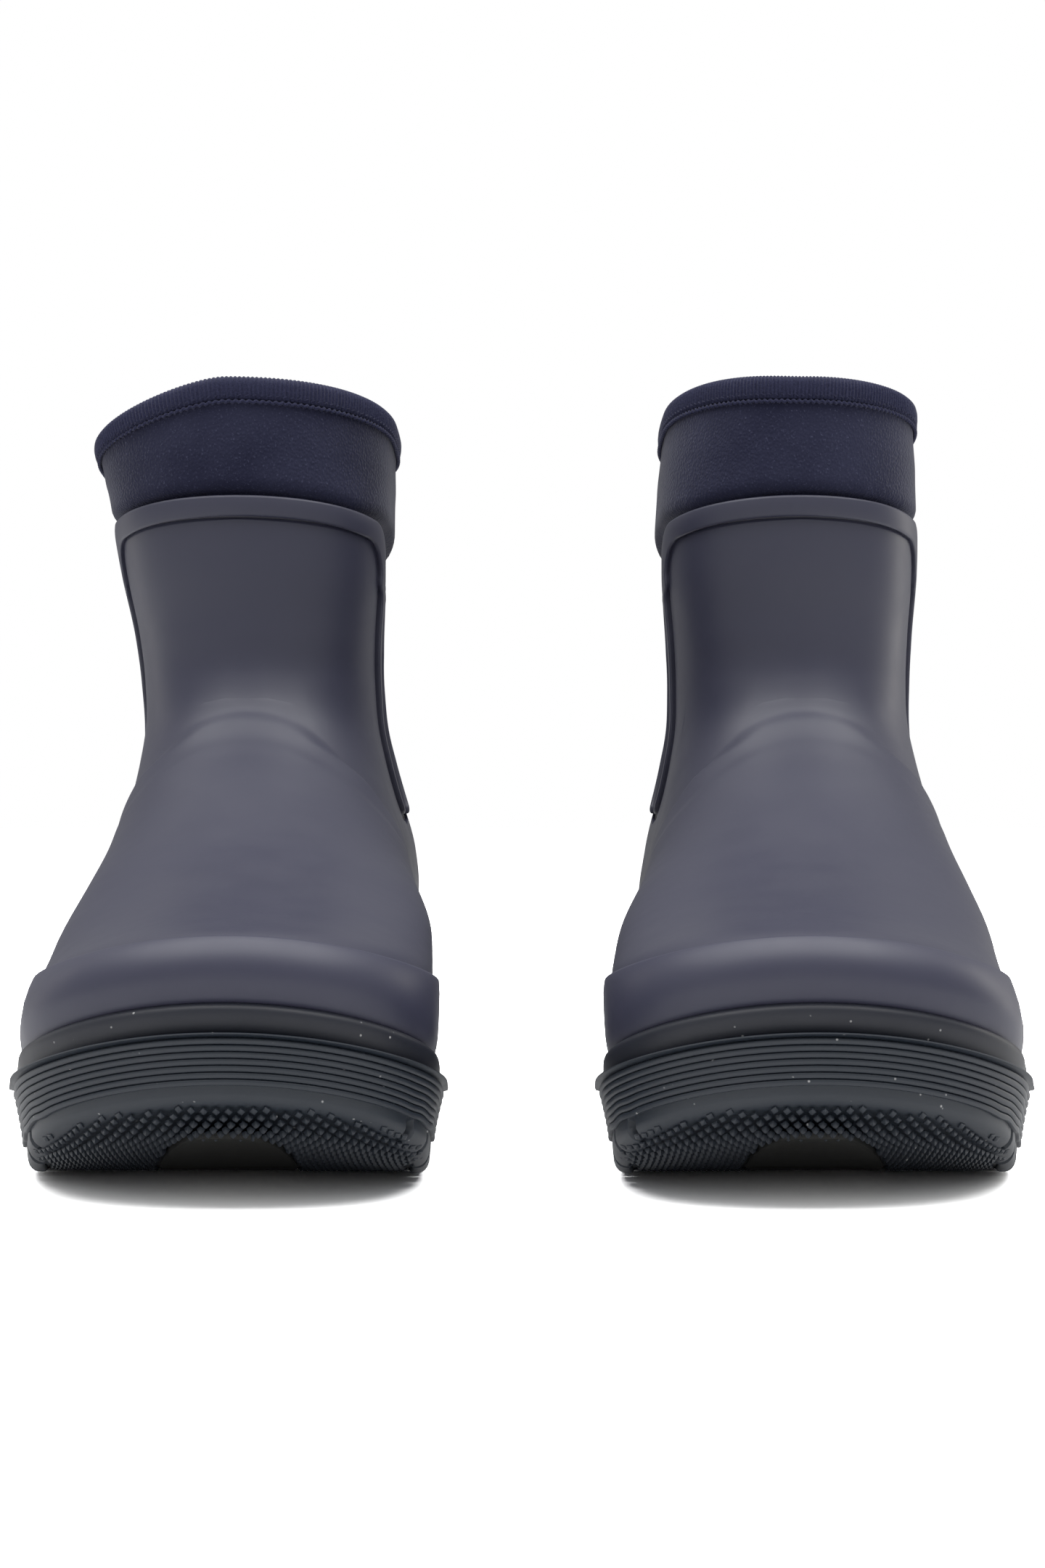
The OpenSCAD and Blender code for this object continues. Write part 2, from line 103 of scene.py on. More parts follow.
# Side view: [height, distance from the middle of the sole] of the front edge and the back edge
FRONT = [[20, -144], [27, -145], [36, -145.3], [43, -140.5], [50, -131], [56, -117], [62, -99], [70, -74],
         [80, -45], [92, -17], [104, 4], [116, 18], [128, 24.5], [142, 26], [160, 25.5], [180, 25], [212, 24]]
BACK = [[20, 142.5], [27, 143.5], [40, 144.5], [60, 143.5], [80, 140], [100, 137], [120, 135.5],
        [145, 136], [165, 138], [185, 139], [212, 140]]
# Plan: the centre line and the half width at each distance from the middle of the sole, then shares of
# that width at each height, the leg's own half width, and the lengths over which both ends are rounded
SWING = [[-147, -13], [-105, -9], [-62, -4], [-20, -1], [25, 0], [146, 0]]
FOOT = [[-147, 47.5], [-110, 50.5], [-62, 53.2], [-20, 48.5], [25, 40.5], [60, 37.5], [100, 36.5], [146, 36]]
BALL = [[20, 0.945], [27, 0.956], [36, 0.959], [42, 0.949], [48, 0.927], [55, 0.903], [62, 0.894],
        [80, 0.892], [104, 0.865]]
HEEL = [[20, 0.93], [27, 0.956], [40, 1], [60, 1.03], [80, 1.045], [104, 0.961]]
LEG = [[60, 36], [80, 38.4], [96, 36.4], [104, 35.4], [116, 34.1], [128, 34.2], [142, 34.9], [160, 36.5],
       [179, 37], [192, 36.5], [212, 36.5]]
FRONT_ROUND = [[20, 42], [45, 48], [60, 60], [80, 70], [100, 58], [116, 50], [212, 50]]
BACK_ROUND = [[20, 38], [60, 38], [100, 46], [130, 50], [212, 52]]
# How far each level falls towards the heel
LEAN = [[60, 0], [110, 0.01], [179, 0.09], [212, 0.15]]
# Where the vamp's sheet ends under the fold
VAMP_EDGE = [[20, 34], [45, 26], [75, 19], [88, 19.7], [97, 20.5], [106, 24.5], [113, 26], [118, 25],
             [121, 23.5], [122, 22.3]]
# The moulded fold over the instep and down both flanks: [height, distance from the middle of the sole]
FOLD = [[20, 34], [45, 26], [75, 19], [92, 18], [101, 19.9], [109, 21.3], [115, 21.8], [119, 20], [122, 16]]
# The gores' edges: [height, distance from the middle of the sole]
GORE_FRONT = [[86, 84], [88, 79], [92, 75.5], [100, 72.5], [120, 69], [150, 65], [179, 61.5]]
GORE_BACK = [[86, 88], [88, 93], [92, 96.5], [100, 99.5], [120, 103], [160, 109], [179, 112]]


def curve(table, x):
    """A smooth curve through a table's points, level past its ends."""
    px, py = np.array(table, float).T
    h, s = np.diff(px), np.diff(py) / np.diff(px)
    t = np.concatenate([[s[0]], (s[:-1] * h[1:] + s[1:] * h[:-1]) / (h[1:] + h[:-1]), [s[-1]]])
    x = np.asarray(x, float)
    k = np.clip(np.searchsorted(px, x, "right") - 1, 0, len(px) - 2)
    u = np.clip((x - px[k]) / h[k], 0, 1)
    a, b, d = t[k] * h[k], t[k + 1] * h[k], py[k + 1] - py[k]
    return py[k] + u * (a + u * ((3 * d - 2 * a - b) + u * (a + b - 2 * d)))


def ease(x):
    """From 0 at x = 0 to 1 at x = 1, level at both ends."""
    s = np.clip(x, 0, 1)
    return s * s * (3 - 2 * s)


def mix(a, b, s):
    """The value a share s of the way from a to b."""
    return a + (b - a) * s


def rounding(s):
    """From 0 at s = 0 to 1 at s = 1, upright at the start and level at the end."""
    return np.sqrt(1 - (1 - np.clip(s, 0, 1)) ** 2.4)


def unit(v):
    """Vectors scaled to length 1."""
    return v / np.maximum(np.linalg.norm(v, axis=-1, keepdims=True), 1e-12)


def spring(y):
    """How far the sole rises off the ground towards the toe."""
    return TOE_SPRING * (np.maximum(0, -50 - y) / 97) ** 2.2


def waist(y):
    """How far the tread's foot is arched off the ground between ball and heel."""
    return 3.5 * ease((y - 10) / 16) * ease((60 - y) / 16)


def surface_y(t, z):
    """Distance from the middle of the sole after t turns from the toe, at level z."""
    f, b = curve(FRONT, z), curve(BACK, z)
    return f + (b - f) * (1 - np.cos(2 * np.pi * t)) / 2


def turn(y, z):
    """The turn at which a level passes distance y from the middle of the sole."""
    f, b = curve(FRONT, z), curve(BACK, z)
    return np.arccos(1 - 2 * np.clip((y - f) / (b - f), 0, 1)) / (2 * np.pi)


class Boot:
    """One boot: its surface, and how its own frame lies in the row's."""

    def __init__(self, side):
        self.side, self.body = side, f"{side}_boot"
        self.mirror = 1 if side == "left" else -1
        self.spread = SPREAD[side]
        self.scale = np.ones(3)
        rests = {m["name"]: np.array(m["pos_m"]) * 1000 for m in frame["record"]["mounts"]}
        heel, ball = rests[f"{side}_heel_rest"], rests[f"{side}_forefoot_rest"]
        self.along = unit(heel - ball)
        self.across = np.array([self.along[1], -self.along[0], 0]) * self.mirror
        if side == "left":
            low, high = [np.array(v) * 1000 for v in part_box("left_foxing")]
            drawn = self.edge(np.linspace(0, 1, 401), FOXING_TOP, 1 + LIP)
            drawn = drawn[:, :1] * self.across + drawn[:, 1:2] * self.along
            self.scale[:2] = (high - low)[:2] / np.ptp(drawn, axis=0)[:2]
            self.scale[2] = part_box("left_cuff_binding")[1].z * 1000 / (CUFF_TOP + 0.2)
        else:
            self.scale = boots["left"].scale
        self.origin = (heel + ball) / 2 - self.along * REST_MIDDLE * self.scale[1]

    def place(self, p):
        """Points of the boot's own frame, in metres of the row's frame."""
        p = np.asarray(p, float)
        up = np.array([0, 0, 1.0])
        return (self.origin + p[..., :1] * self.across + p[..., 1:2] * self.along + p[..., 2:] * up) / 1000

    def opened(self, z):
        """How much wider the cuff stands open on each side."""
        return self.spread * (np.maximum(0, z - 130) / 82) ** 1.8

    def half_width(self, y, z):
        """Half the upper's width at distance y from the middle of the sole, at level z."""
        foot = curve(FOOT, y) * mix(curve(BALL, z), curve(HEEL, z), ease((y + 20) / 80))
        return (mix(foot, curve(LEG, z) + self.opened(z), ease((z - 60) / 52))
                * rounding((y - curve(FRONT, z)) / curve(FRONT_ROUND, z))
                * rounding((curve(BACK, z) - y) / curve(BACK_ROUND, z)))

    def skin(self, t, z):
        """A point of the upper: t is a turn from the toe, out round the heel and back; z is the level."""
        t, z = np.broadcast_arrays(np.asarray(t, float), np.asarray(z, float))
        y = surface_y(t, z)
        x = curve(SWING, y) * (1 - ease((z - 60) / 52)) + curve(LEAN_OUT[self.side], z)
        side = np.where(np.sin(2 * np.pi * t) < 0, -1, 1)
        out = side * self.half_width(y, z)
        share = np.abs(out) / 40
        settled = np.where(side < 0, *CUFF_SETTLED[self.side]) * 1.25 * share ** 2 / (share + 0.25)
        height = (z + spring(y) - curve(LEAN, z) * (y - 25)
                  + settled * ease((z - COLLAR) / (CUFF_TOP - COLLAR)))
        return np.stack([x + out, y, height], -1) * self.scale

    def lifted(self, t, z, off):
        """A point that stands off millimetres out from the upper."""
        t, z, off = np.broadcast_arrays(*[np.asarray(v, float) for v in (t, z, off)])
        n = unit(np.cross(self.skin(t + 0.003, z) - self.skin(t - 0.003, z),
                          self.skin(t, z + 0.3) - self.skin(t, z - 0.3)))
        return self.skin(t, z) + off[..., None] * n

    def edge(self, t, z, off):
        """A point of the sole's side: the feather line moved out by off, at height z."""
        t, z, off = np.broadcast_arrays(*[np.asarray(v, float) for v in (t, z, off)])
        p = self.skin(t, FEATHER)
        d = self.skin(t + 0.003, FEATHER) - self.skin(t - 0.003, FEATHER)
        n = unit(np.stack([d[..., 1], -d[..., 0]], -1))
        xy = p[..., :2] + n * off[..., None]
        return np.concatenate([xy, ((z + spring(p[..., 1] / self.scale[1])) * self.scale[2])[..., None]], -1)


# ---------------------------------------------------------------- making meshes
def loft(rings, closed=False, nose=False):
    """Vertices and faces of the solid through rings, each right-handed about the way the rings go."""
    rings = np.asarray(rings, float)
    rows, n = rings.shape[:2]
    i, j = np.meshgrid(np.arange(rows if closed else rows - 1), np.arange(n), indexing="ij")
    up, right = (i + 1) % rows, (j + 1) % n
    quads = np.stack([i * n + j, i * n + right, up * n + right, up * n + j], -1).reshape(-1, 4)
    faces = quads.tolist()
    if not closed:
        if nose:
            cap = [[0, 1, n - 1]] + [[j, j + 1, n - j - 1, n - j] for j in range(1, n // 2 - 1)]
            cap.append([n // 2 - 1, n // 2, n // 2 + 1])
        else:
            cap = [[j, j + 1, n - 2 - j, n - 1 - j] for j in range(n // 2 - 1)]
        faces += [f[::-1] for f in cap] + [[v + (rows - 1) * n for v in f] for f in cap]
    return rings.reshape(-1, 3), faces


def joined(solids):
    """Several (vertices, faces) as one."""
    points, faces, start = [], [], 0
    for p, f in solids:
        points.append(p)
        faces += [[v + start for v in face] for face in f]
        start += len(p)
    return np.concatenate(points), faces


def piece(boot, part, solid, material, replaces=(), crease=40, body=None):
    """One visible piece, riding on its boot. Edges sharper than crease degrees stay sharp."""
    points, faces = solid
    if boot.mirror < 0:
        faces = [f[::-1] for f in faces]
    data = bpy.data.meshes.new(f"{boot.side}_{part}")
    data.from_pydata(boot.place(points).tolist(), [], faces)
    data.validate()
    data.polygons.foreach_set("use_smooth", [True] * len(data.polygons))
    data.set_sharp_from_angle(angle=math.radians(crease))
    data.materials.append(material)
    obj = bpy.data.objects.new(f"{boot.side}_{part}", data)
    bpy.context.scene.collection.objects.link(obj)
    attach(obj, body or boot.body)
    if replaces:
        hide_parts(*[f"{boot.side}_{n}" for n in replaces])


# ---------------------------------------------------------------- materials
class Shader:
    """A material's node tree, with short ways to add to it."""

    def __init__(self, name, color, roughness, specular=0.5):
        self.material = bpy.data.materials.new(name)
        self.material.use_nodes = True
        self.tree = self.material.node_tree
        self.surface = self.tree.nodes["Principled BSDF"]
        self.set(self.surface, {"Base Color": (*color, 1), "Roughness": roughness,
                                "Specular IOR Level": specular})
        self.place = self.add("ShaderNodeTexCoord").outputs["Object"]
        self.normal = None

    def set(self, node, values):
        for key, value in values.items():
            if isinstance(value, bpy.types.NodeSocket):
                self.tree.links.new(value, node.inputs[key])
            else:
                node.inputs[key].default_value = value

    def add(self, kind, values=None, **settings):
        node = self.tree.nodes.new(kind)
        for key, value in settings.items():
            setattr(node, key, value)
        self.set(node, values or {})
        return node

    def noise(self, scale, detail=2.0):
        values = {"Vector": self.place, "Scale": scale, "Detail": detail}
        return self.add("ShaderNodeTexNoise", values).outputs["Fac"]

    def cells(self, scale, stretch=(1, 1, 1)):
        where = self.add("ShaderNodeVectorMath", {0: self.place, 1: stretch}, operation="MULTIPLY").outputs[0]
        return self.add("ShaderNodeTexVoronoi", {"Vector": where, "Scale": scale}).outputs["Distance"]

    def ramp(self, value, low, high, to_low=0.0, to_high=1.0):
        return self.add("ShaderNodeMapRange", {"Value": value, "From Min": low, "From Max": high,
                                               "To Min": to_low, "To Max": to_high}).outputs["Result"]

    def math(self, operation, a, b=0.0):
        return self.add("ShaderNodeMath", {0: a, 1: b}, operation=operation).outputs[0]

    def tint(self, share, a, b):
        node = self.add("ShaderNodeMix", data_type="RGBA")
        for index, value in ((0, share), (6, a), (7, b)):
            if isinstance(value, bpy.types.NodeSocket):
                self.tree.links.new(value, node.inputs[index])
            else:
                node.inputs[index].default_value = value if index == 0 else (*value, 1)
        return node.outputs[2]

    def bump(self, height, depth_mm, strength=1.0):
        values = {"Height": height, "Distance": depth_mm / 1000, "Strength": strength}
        if self.normal is not None:
            values["Normal"] = self.normal
        self.normal = self.add("ShaderNodeBump", values).outputs["Normal"]

    def done(self, **values):
        if self.normal is not None:
            self.set(self.surface, {"Normal": self.normal})
        self.set(self.surface, {key.replace("_", " ").title(): v for key, v in values.items()})
        return self.material


def rubber(name, color, roughness, bloom=(0.09, 0.09, 0.1), specks=0.0):
    """Moulded rubber: a soft satin with a faint bloom, fine pits and, where asked, dust."""
    s = Shader(name, color, roughness)
    cloud = s.ramp(s.noise(24, 3), 0.35, 0.7)
    tone = s.tint(s.math("MULTIPLY", cloud, 0.08), color, bloom)
    if specks:
        near = s.ramp(s.cells(420), 0.06, 0.16, 1, 0)
        few = s.ramp(s.noise(170, 1), 0.62, 0.66)
        tone = s.tint(s.math("MULTIPLY", s.math("MULTIPLY", near, few), specks), tone, (0.5, 0.5, 0.5))
    s.bump(s.noise(2600, 2), 0.02, 0.5)
    s.bump(s.noise(60, 2), 0.03, 0.25)
    rough = s.ramp(s.noise(90, 3), 0.3, 0.7, roughness - 0.02, roughness + 0.03)
    return s.done(base_color=tone, roughness=rough)


def jersey(name, color, light, pitch_mm=0.75):
    """Knitted face of neoprene: rows of small loops, with a few brighter yarns."""
    s = Shader(name, color, 0.85, 0.25)
    grain = s.ramp(s.cells(1000 / pitch_mm, (1, 1, 0.8)), 0.1, 0.75, 1, 0)
    yarn = s.ramp(s.noise(1900, 2), 0.55, 0.75)
    tone = s.tint(s.math("MULTIPLY", s.math("MULTIPLY", grain, yarn), 0.75), color, light)
    wide = s.ramp(s.noise(35, 3), 0.3, 0.7)
    tone = s.tint(s.math("MULTIPLY", wide, 0.18), tone, light)
    s.bump(grain, 0.18, 0.8)
    return s.done(base_color=tone, sheen_weight=0.12, sheen_roughness=0.4)


def cord_fabric(name, color, light, pitch_mm=0.4):
    """A matt fibrous surface: knitted cord, elastic, board or sponge."""
    s = Shader(name, color, 0.8, 0.3)
    grain = s.ramp(s.noise(1000 / pitch_mm, 2), 0.3, 0.7)
    # The lighter tone lies where the grain's bump stands highest: partly the fibres' own tone, partly a
    # painted highlight on the raised fibres.
    tone = s.tint(s.math("MULTIPLY", grain, 0.4), color, light)
    s.bump(grain, 0.08, 0.7)
    return s.done(base_color=tone, sheen_weight=0.12, sheen_roughness=0.4)


NAVY_RUBBER = rubber("navy_rubber", (0.034, 0.035, 0.060), 0.45)
BUMPER_RUBBER = rubber("bumper_rubber", (0.035, 0.036, 0.064), 0.48)
SOLE_RUBBER = rubber("sole_rubber", (0.015, 0.021, 0.031), 0.46, specks=0.8)
# The welt is the sole's rubber made darker: painted shade on the bead's down-facing face.
SHADED_WELT_RUBBER = rubber("shaded_welt_rubber", (0.008, 0.010, 0.0185), 0.5, specks=0.8)
WINDOW_RUBBER = rubber("window_rubber", (0.006, 0.006, 0.005), 0.7, bloom=(0.02, 0.02, 0.018))
CUFF_JERSEY = jersey("cuff_jersey", (0.008, 0.009, 0.029), (0.08, 0.085, 0.15))
# The binding's light tone is strong: a painted highlight on its raised fibres, over the yarn's own tone.
KNIT = cord_fabric("knit_binding", (0.010, 0.011, 0.036), (0.055, 0.06, 0.13))
# Near black: painted shade of the recess between the rims, standing in for the elastic's own colour.
SHADED_ELASTIC = cord_fabric("gore_elastic", (0.006, 0.006, 0.008), (0.02, 0.02, 0.025))
FOOTBED_CLOTH = jersey("footbed_cloth", (0.02, 0.022, 0.035), (0.06, 0.06, 0.08), 1.1)
BOARD = cord_fabric("insole_board", (0.32, 0.24, 0.15), (0.42, 0.34, 0.24), 0.8)
SPONGE = cord_fabric("filler_sponge", (0.02, 0.02, 0.022), (0.04, 0.04, 0.045), 1.2)


# ---------------------------------------------------------------- the upper
def relief(y, z):
    """How far the vamp's moulding stands proud: a step at the fold, crisp on the flanks and soft over the
    instep, and a fainter one further in."""
    inside = curve(FOLD, z) - y
    high = ease((z - 50) / 25)
    over = ease((z - 96) / 14)
    fold = mix(1.6, 0.9, over) * ease(inside / mix(0.9, 5.0, over))
    return high * (fold + 0.22 * ease((inside - 8) / 4.5) * ease((116 - z) / 10))


def sheet(boot, t, z, outer, inner):
    """A solid sheet over a grid of (t, z): rows go up, columns go round."""
    outside = boot.lifted(t, z, outer)
    inside = boot.lifted(t, z, inner)[:, ::-1]
    return loft(np.concatenate([outside, inside], 1))


def levels_by_length(low, high, count):
    """Levels evenly spaced along the front edge seen from the side."""
    z = np.linspace(low, high, 2000)
    step = np.hypot(np.diff(z), np.diff(curve(FRONT, z)))
    length = np.concatenate([[0], np.cumsum(step)])
    return np.interp(np.linspace(0, length[-1], count), length, z)


def vamp(boot):
    """The sheet over the toes and instep, up to the fold."""
    z = levels_by_length(SHEET_FOOT, FOLD_TOP, 150)[:, None]
    across = np.sin(np.linspace(-np.pi / 2, np.pi / 2, 141))
    t = turn(curve(VAMP_EDGE, z), z) * across
    outer = relief(surface_y(t, z), z)
    piece(boot, "vamp_moulding", sheet(boot, t, z + 0 * t, outer, -RUBBER), NAVY_RUBBER,
          ["vamp"])


def quarter(boot):
    """One sheet over the instep, down both sides to the sole, and up to the collar rim."""
    top = COLLAR - RIM_WIDTH - RIM_GAP
    ridge = levels_by_length(SHEET_FOOT, FOLD_TOP, 70)[::-1]
    foot = np.stack([turn(np.linspace(36, SEAM, 24), SHEET_FOOT), np.full(24, SHEET_FOOT)], -1)
    flank = np.stack([turn(curve(VAMP_EDGE, ridge), ridge), ridge], -1)
    lows = np.concatenate([[[0, FOLD_TOP]], flank, foot])
    v = np.concatenate([np.linspace(0, 0.36, 30)[:-1], np.linspace(0.36, 0.47, 24)[:-1],
                        np.linspace(0.47, 0.985, 48)[:-1], np.linspace(0.985, 1, 8)])[:, None]
    u = np.linspace(0, 1, len(lows))[None, :]
    side_z = mix(SHEET_FOOT, top - COLLAR_FALL, v)
    gore_y = curve(GORE_FRONT, np.maximum(GORE_TIP, side_z)) - SIDE_RIM_WIDTH - RIM_GAP
    side_y = mix(SEAM, gore_y, ease((side_z - 85.5) / 2.5))
    side = np.stack([turn(side_y, side_z), side_z], -1)
    middle = np.stack([0 * v, mix(FOLD_TOP, top, v)], -1)
    high = np.stack([u * side[-1, 0, 0], top - COLLAR_FALL * u ** 2], -1)
    corners = ((1 - u)[..., None] * ((1 - v)[..., None] * middle[0, 0] + v[..., None] * middle[-1, 0])
               + u[..., None] * ((1 - v)[..., None] * side[0, 0] + v[..., None] * side[-1, 0]))
    half = ((1 - v)[..., None] * lows[None] + v[..., None] * high + (1 - u)[..., None] * middle
            + u[..., None] * side - corners)
    t = np.concatenate([-half[:, :0:-1, 0], half[..., 0]], 1)
    z = np.concatenate([half[:, :0:-1, 1], half[..., 1]], 1)
    near_rim = np.minimum((1 - v) * (top - SHEET_FOOT), np.where(side_z > 87, gore_y - surface_y(t, z), 50))
    rolled = -0.4 * (1 - ease(near_rim / 1.3))
    piece(boot, "quarter_moulding", sheet(boot, t, z, relief(surface_y(t, z), z) + rolled, -RUBBER),
          NAVY_RUBBER, ["quarter"])


def rear_panel(boot):
    """The sheet round the heel, from seam to seam, and up to the rear collar's rim."""
    top = REAR_COLLAR - RIM_WIDTH - RIM_GAP
    z = np.concatenate([np.linspace(SHEET_FOOT, 84, 40)[:-1], np.linspace(84, 92, 24)[:-1],
                        np.linspace(92, top, 50)])[:, None]
    gore_y = curve(GORE_BACK, np.maximum(GORE_TIP, z)) + SIDE_RIM_WIDTH + RIM_GAP
    t = turn(mix(SEAM, gore_y, ease((z - 85.5) / 2.5)), z)
    t = mix(t, 1 - t, np.linspace(0, 1, 140)[None, :])
    piece(boot, "rear_panel_moulding", sheet(boot, t, z + 0 * t, 0, -RUBBER), NAVY_RUBBER,
          ["rear_panel"])


def swept(boot, low, high, profile, full=None):
    """A bar along a path: low and high are its edges' (t, z) points, and each profile point is a share of
    the way from low to high, and an offset from the upper. full is the bar's size along the path, 0 to 1."""
    share, off = np.array(profile, float).T
    low, high = np.array(low), np.array(high)
    full = np.ones(len(low)) if full is None else full
    share = 0.5 + (share[None, :] - 0.5) * full[:, None]
    off = np.where(off > 0, off * np.sqrt(full)[:, None], off[None, :])
    path = mix(low[:, None], high[:, None], share[..., None])
    return loft(boot.lifted(path[..., 0], path[..., 1], off))


def smooth(points, per):
    """Catmull-Rom curve through points, with per steps between neighbours."""
    p = np.asarray(points, float)
    p = np.concatenate([[2 * p[0] - p[1]], p, [2 * p[-1] - p[-2]]])
    u = np.linspace(0, 1, per, endpoint=False)[:, None]
    runs = [0.5 * (2 * b + (c - a) * u + (2 * a - 5 * b + 4 * c - d) * u ** 2
                   + (3 * b - a - 3 * c + d) * u ** 3)
            for a, b, c, d in zip(p, p[1:], p[2:], p[3:])]
    return np.concatenate(runs + [p[-2:-1]])


# [share of the rim's width, offset from the upper], from the edge beside the sheet to the free edge
RIM_PROFILE = [[0.0, -RUBBER], [-0.07, -RUBBER], [-0.07, -0.9], [0.04, -0.75], [0.045, 0.2], [0.0, 0.8],
               [0.01, 1.1], [0.05, 1.34], [0.12, 1.44], [0.5, 1.5], [0.86, 1.44], [0.94, 1.3], [0.985, 0.95],
               [1.0, 0.4], [1.0, -RUBBER]]
# Length over which a rim narrows to its lower tip
RIM_TIP = 2.4


def bumper(boot):
    """The thick band round the toe, taller towards the ball."""
    reach = turn(SEAM, 36)
    t = np.linspace(reach, -reach, 420)
    top = 43.6 + 4.9 * ease((surface_y(t, 44) + 146) / 75)
    low = np.stack([t, 27.3 + 0 * t], -1)
    high = np.stack([t, top], -1)
    profile = [[0.0, 0.0], [0.0, 0.35], [0.04, 0.7], [0.1, 1.05], [0.18, 1.35], [0.28, 1.58], [0.4, 1.7],
               [0.6, 1.7], [0.8, 1.68], [0.93, 1.64], [0.965, 1.55], [0.985, 1.32], [0.997, 0.9],
               [1.002, 0.4], [1.002, 0.0]]
    piece(boot, "toe_bumper", swept(boot, low, high, profile), BUMPER_RUBBER, ["bumper"],
          crease=60)


def counter(boot):
    """The thick band round the heel."""
    start = turn(SEAM + 1, 40)
    t = np.linspace(1 - start, start, 260)
    low = np.stack([t, 27.3 + 0 * t], -1)
    high = np.stack([t, 62 + 0 * t], -1)
    profile = [[0.0, 0.0], [0.0, 0.35], [0.02, 0.7], [0.05, 1.05], [0.09, 1.35], [0.15, 1.58], [0.25, 1.7],
               [0.45, 1.7], [0.65, 1.7], [0.85, 1.65], [0.95, 1.6], [0.98, 1.45], [0.992, 1.2], [1.0, 0.85],
               [1.001, 0.4], [1.001, 0.0]]
    piece(boot, "heel_counter", swept(boot, low, high, profile), NAVY_RUBBER, ["counter"],
          crease=60)


def rim_path(gore_edge, top, ahead):
    """Half of a rim's inner and outer edges, from its lower tip beside the gore up to the middle of the
    collar. ahead is -1 for the front rim and 1 for the rear one."""
    middle = 0.0 if ahead < 0 else 0.5
    side_y = float(curve(gore_edge, top))
    up = np.array([89, 89.4, 90, 91, 93, 99, 108, 120, 136, top - 26])
    inner = np.stack([turn(curve(gore_edge, up) + ahead * SIDE_RIM_WIDTH, up), up], -1)
    outer = np.stack([turn(curve(gore_edge, up), up), up], -1)
    full = np.sqrt(1 - (1 - np.clip((up - 89) / RIM_TIP, 0.02, 1)) ** 2)
    a = np.radians([0, 15, 30, 45, 60, 75, 90])
    corners = []
    for radius, y, z in ((RIM_INSIDE, side_y + ahead * SIDE_RIM_WIDTH, top - RIM_WIDTH),
                         (RIM_OUTSIDE, side_y, top)):
        round_y = y + ahead * radius * (1 - np.cos(a))
        round_z = z - radius * (1 - np.sin(a))
        corners.append(np.stack([turn(round_y, round_z), round_z], -1))
    over = np.array([0.85, 0.68, 0.5, 0.34, 0.17, 0.0])[:, None]
    ends = [np.concatenate([middle + (c[-1:, :1] - middle) * over, c[-1:, 1:] + 0 * over], 1)
            for c in corners]
    fall = COLLAR_FALL if ahead < 0 else 0.0
    for corner, end in zip(corners, ends):
        corner[:, 1] -= fall
        end[:, 1] -= fall * over[:, 0] ** 2
    inner = smooth(np.concatenate([inner, corners[0], ends[0]]), 8)
    outer = smooth(np.concatenate([outer, corners[1], ends[1]]), 8)
    full = np.interp(np.arange(len(inner)) / 8, np.arange(len(up)), full)
    return inner, outer, full


def rims(boot):
    """The raised bands that edge the collar and run down beside the gores."""
    for gore_edge, top, ahead, part in ((GORE_FRONT, COLLAR, -1, "front_rim"),
                                        (GORE_BACK, REAR_COLLAR, 1, "rear_rim")):
        inner, outer, full = rim_path(gore_edge, top, ahead)
        flip = np.array([-1.0, 1.0])
        whole = np.array([0.0 if ahead < 0 else 1.0, 0.0])
        inner_other, outer_other = [p[::-1][1:] * flip + whole for p in (inner, outer)]
        both = [np.concatenate([inner, inner_other]), np.concatenate([outer, outer_other])]
        sizes = np.concatenate([full, full[::-1][1:]])
        if ahead > 0:
            both, sizes = [p[::-1] for p in both], sizes[::-1]
        piece(boot, f"{part}_moulding", swept(boot, both[0], both[1], RIM_PROFILE, sizes), NAVY_RUBBER,
              [part], crease=50)


def gore(boot, sign):
    """The elastic panel between the two rims, with its upright ribs."""
    u = np.linspace(0, 1, 161)[None, :]
    v = np.linspace(0, 1, 60)[:, None]
    z = mix(87.5, mix(COLLAR - 13, REAR_COLLAR - 10, u), v)
    t = turn(mix(curve(GORE_FRONT, z) - 1.5, curve(GORE_BACK, z) + 1.5, u), z)
    rib = 0.22 * np.abs(np.sin(np.pi * 20 * u)) - 0.25 * np.sin(np.pi * u) * v
    if sign < 0:
        t, z, rib = 1 - t[:, ::-1], z[:, ::-1], rib[:, ::-1]
    side = "outer" if sign > 0 else "inner"
    piece(boot, f"{side}_gore_elastic", sheet(boot, t, z, rib - 0.9, -2), SHADED_ELASTIC,
          [f"{side}_gore"])


# ---------------------------------------------------------------- the bootee and its cuff
def bootee_off(t, z):
    """The bootee lies inside the rubber up to the collar's edge, then swells out over it."""
    round_front = np.minimum(t, 1 - t)
    fallen = COLLAR - COLLAR_FALL * np.clip(round_front / 0.13, 0, 1) ** 2
    above = z - mix(fallen, REAR_COLLAR, ease((round_front - 0.24) / 0.14))
    return (-RUBBER - 0.6 - 3.5 * (1 - ease((z - 21) / 9)) ** 2 + (RUBBER + 0.6) * ease((above + 0.2) / 3.2)
            + 1.0 * ease((above - 1) / 4) * ease((206 - z) / 14))


def soft_folds(t, z):
    """Slight waves in the cuff, stronger near its top."""
    a = 2 * np.pi * t
    return (0.35 * np.sin(3 * a + 0.8) + 0.25 * np.sin(5 * a + 2.1 + z / 30)) * ease((z - 179) / 30)


def bootee(boot):
    """The neoprene sock that lines the boot and comes out at the top as the cuff."""
    t = (np.arange(260) / 260)[None, :]
    out_z = np.concatenate([[21.8, 23.5, 25.5], np.linspace(28, 165, 60),
                            np.linspace(168, 210.5, 40)])[:, None]
    in_z = np.concatenate([np.linspace(210.5, 60, 60), np.linspace(55, 30, 10), [27, 25]])[:, None]
    outside = boot.lifted(t, out_z, bootee_off(t, out_z) + soft_folds(t, out_z))
    inside = boot.lifted(t, in_z, bootee_off(t, in_z) - NEOPRENE + soft_folds(t, in_z))
    piece(boot, "bootee_neoprene", loft(np.concatenate([outside, inside]), nose=True), CUFF_JERSEY,
          ["bootee"])


